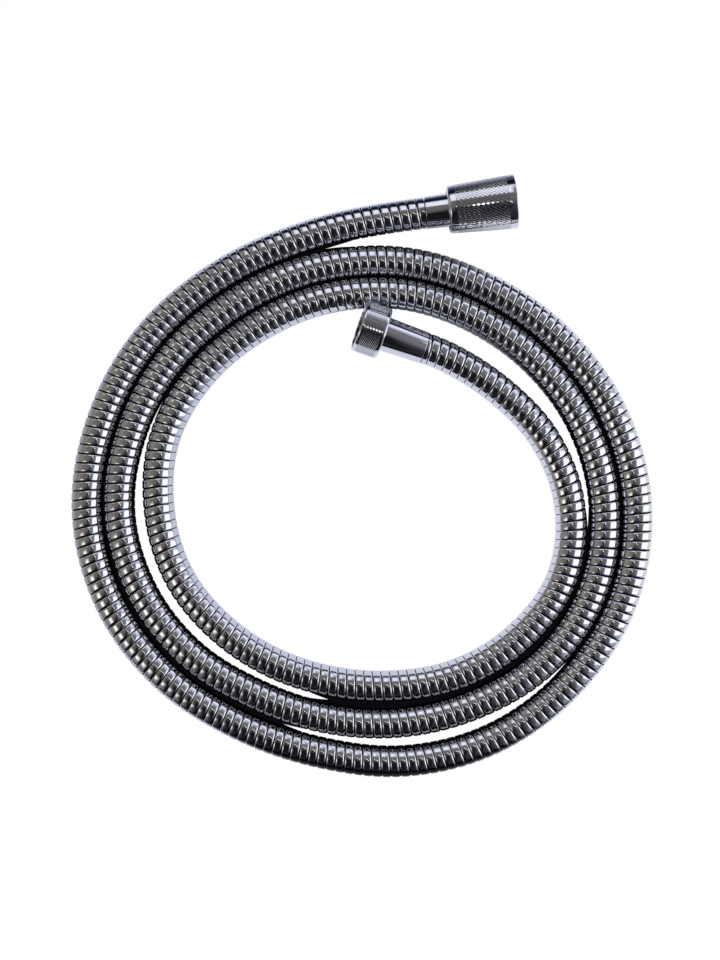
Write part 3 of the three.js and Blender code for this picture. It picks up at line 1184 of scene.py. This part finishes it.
# A panel that shines evenly in the middle and fades away towards its edges
def panel_material(name, colour, strength, softness):
    material, tree = new_material(name)
    place = add_node(tree, "ShaderNodeTexCoord").outputs["UV"]
    offset = add_node(
        tree,
        "ShaderNodeVectorMath",
        settings={"operation": "SUBTRACT"},
        values={1: (0.5, 0.5, 0.0)},
        links={0: place},
    )
    size = add_node(
        tree, "ShaderNodeVectorMath", settings={"operation": "ABSOLUTE"}, links={0: offset.outputs["Vector"]}
    )
    parts = add_node(tree, "ShaderNodeSeparateXYZ", links={"Vector": size.outputs["Vector"]})
    outermost = add_node(
        tree,
        "ShaderNodeMath",
        settings={"operation": "MAXIMUM"},
        links={0: parts.outputs["X"], 1: parts.outputs["Y"]},
    )
    there = add_node(
        tree,
        "ShaderNodeMapRange",
        settings={"interpolation_type": "SMOOTHSTEP"},
        values={"From Min": 0.5 - softness, "From Max": 0.5, "To Min": 1.0, "To Max": 0.0},
        links={"Value": outermost.outputs["Value"]},
    )
    beyond = add_node(tree, "ShaderNodeBsdfTransparent")
    light = add_node(tree, "ShaderNodeEmission", values={"Color": (*colour, 1.0), "Strength": strength})
    faded = add_node(
        tree,
        "ShaderNodeMixShader",
        links={"Fac": there.outputs["Result"], 1: beyond.outputs["BSDF"], 2: light.outputs["Emission"]},
    )
    add_node(tree, "ShaderNodeOutputMaterial", links={"Surface": faded.outputs["Shader"]})
    return material


# A panel that faces the middle of the coil and isn't seen directly
def panel(context, name, place, size, colour, strength, softness):
    bm = bmesh.new()
    bm.loops.layers.uv.new("surface")
    bmesh.ops.create_grid(bm, x_segments=1, y_segments=1, size=0.5, calc_uvs=True)
    bm.transform(Matrix.Diagonal((*size, 1.0, 1.0)))
    aim = Vector((0, 0, 0)) - Vector(place)
    bm.transform(Matrix.Translation(Vector(place)) @ aim.to_track_quat("Z", "Y").to_matrix().to_4x4())
    mesh = mesh_of(name, bm)
    mesh.materials.append(panel_material(name, srgb(colour), strength, softness))
    board = placed(context, name, mesh)
    board.visible_camera = False
    board.visible_shadow = False


# The studio's walls as seen from the coil: where each begins and ends as a share of the round that
# starts on the left and goes by the near side, the right and the far side, then its tone low down
# and its tone higher up. Between two walls the corner goes from one tone to the other.
WALLS = {
    "left_wall": (0.0, 0.12, "#9a9590", "#858078"),
    "near_wall": (0.17, 0.32, "#33333a", "#40404a"),
    "right_wall": (0.43, 0.62, "#d8dbe8", "#88888f"),
    "far_wall": (0.7, 0.74, "#c8cad8", "#808080"),
    "left_wall_again": (0.83, 1.0, "#9a9590", "#858078"),
}

# The ceiling's two tones, and the shares of the way from the near side at which one gives way to the
# other
CEILING = [(0.35, "#4c4c50"), (0.47, "#787470")]

# Heights of the sky's direction over which the walls change tone and then give way to the ceiling
WALL_RISE = (0.55, 0.75)
CEILING_RISE = (0.87, 0.97)


# From one colour to another while a value goes from a start to an end
def blended(tree, value, span, first, second):
    start, end = span
    share = add_node(
        tree,
        "ShaderNodeMapRange",
        settings={"interpolation_type": "SMOOTHSTEP"},
        values={"From Min": start, "From Max": end},
        links={"Value": value},
    )
    mix = add_node(
        tree,
        "ShaderNodeMix",
        settings={"data_type": "RGBA"},
        links={"Factor": share.outputs["Result"], 6: first, 7: second},
    )
    return mix.outputs[2]


# A dim studio: a brown-grey ceiling, and walls that differ from side to side
def studio_world(scene):
    world = bpy.data.worlds.new("studio")
    scene.world = world
    world.use_nodes = True
    tree = world.node_tree
    tree.nodes.clear()
    way = add_node(tree, "ShaderNodeTexCoord").outputs["Generated"]
    axes = add_node(tree, "ShaderNodeSeparateXYZ", links={"Vector": way})
    turn = add_node(
        tree,
        "ShaderNodeMath",
        settings={"operation": "ARCTAN2"},
        links={0: axes.outputs["Y"], 1: axes.outputs["X"]},
    )
    round_share = add_node(
        tree,
        "ShaderNodeMapRange",
        values={"From Min": -math.pi, "From Max": math.pi},
        links={"Value": turn.outputs["Value"]},
    )
    far_share = add_node(
        tree,
        "ShaderNodeMapRange",
        values={"From Min": -1.0, "From Max": 1.0},
        links={"Value": axes.outputs["Y"]},
    )
    corners = [(place, low, high) for start, end, low, high in WALLS.values() for place in (start, end)]
    low = on_ramp(tree, round_share.outputs["Result"], [(place, tone) for place, tone, _ in corners])
    high = on_ramp(tree, round_share.outputs["Result"], [(place, tone) for place, _, tone in corners])
    ceiling = on_ramp(tree, far_share.outputs["Result"], CEILING)
    walls = blended(tree, axes.outputs["Z"], WALL_RISE, low, high)
    room = blended(tree, axes.outputs["Z"], CEILING_RISE, walls, ceiling)
    sky = add_node(tree, "ShaderNodeBackground", values={"Strength": 1.0}, links={"Color": room})
    add_node(tree, "ShaderNodeOutputWorld", links={"Surface": sky.outputs["Background"]})


class SHOWERHOSE_OT_stage(bpy.types.Operator):
    """Lay the floor and set up the lights"""

    bl_idname = "shower_hose.stage"
    bl_label = "Floor and Lights"

    def execute(self, context):
        bm = bmesh.new()
        bmesh.ops.create_grid(bm, x_segments=1, y_segments=1, size=FLOOR_SIZE / 2)
        mesh = mesh_of("floor", bm)
        mesh.materials.append(floor_material())
        placed(context, "floor", mesh)
        gap_shadow(context)
        for name, settings in PANELS.items():
            panel(context, name, *settings)
        studio_world(context.scene)
        context.scene.view_settings.view_transform = "Standard"
        return {"FINISHED"}


class SHOWERHOSE_PT_panel(bpy.types.Panel):
    """Sizes, colours and pieces of the shower hose"""

    bl_idname = "SHOWERHOSE_PT_panel"
    bl_label = "Shower Hose"
    bl_space_type = "VIEW_3D"
    bl_region_type = "UI"
    bl_category = "Shower Hose"

    def draw(self, context):
        sizes = context.scene.shower_hose
        for name in ShowerHoseSizes.__annotations__:
            self.layout.prop(sizes, name)
        for operator in OPERATORS:
            self.layout.operator(operator.bl_idname)


OPERATORS = (
    SHOWERHOSE_OT_camera,
    SHOWERHOSE_OT_hose,
    SHOWERHOSE_OT_sleeves,
    SHOWERHOSE_OT_inserts,
    SHOWERHOSE_OT_washers,
    SHOWERHOSE_OT_cone_nut,
    SHOWERHOSE_OT_wall_nut,
    SHOWERHOSE_OT_hidden_pieces,
    SHOWERHOSE_OT_stage,
)
CLASSES = (ShowerHoseSizes, *OPERATORS, SHOWERHOSE_PT_panel)


def register():
    for cls in CLASSES:
        bpy.utils.register_class(cls)
    bpy.types.Scene.shower_hose = bpy.props.PointerProperty(type=ShowerHoseSizes)


def unregister():
    del bpy.types.Scene.shower_hose
    for cls in reversed(CLASSES):
        bpy.utils.unregister_class(cls)


def main():
    register()
    bpy.ops.shower_hose.camera()
    bpy.ops.shower_hose.hose()
    bpy.ops.shower_hose.sleeves()
    bpy.ops.shower_hose.inserts()
    bpy.ops.shower_hose.washers()
    bpy.ops.shower_hose.cone_nut()
    bpy.ops.shower_hose.wall_nut()
    bpy.ops.shower_hose.hidden_pieces()
    bpy.ops.shower_hose.stage()


if __name__ == "__main__":
    main()
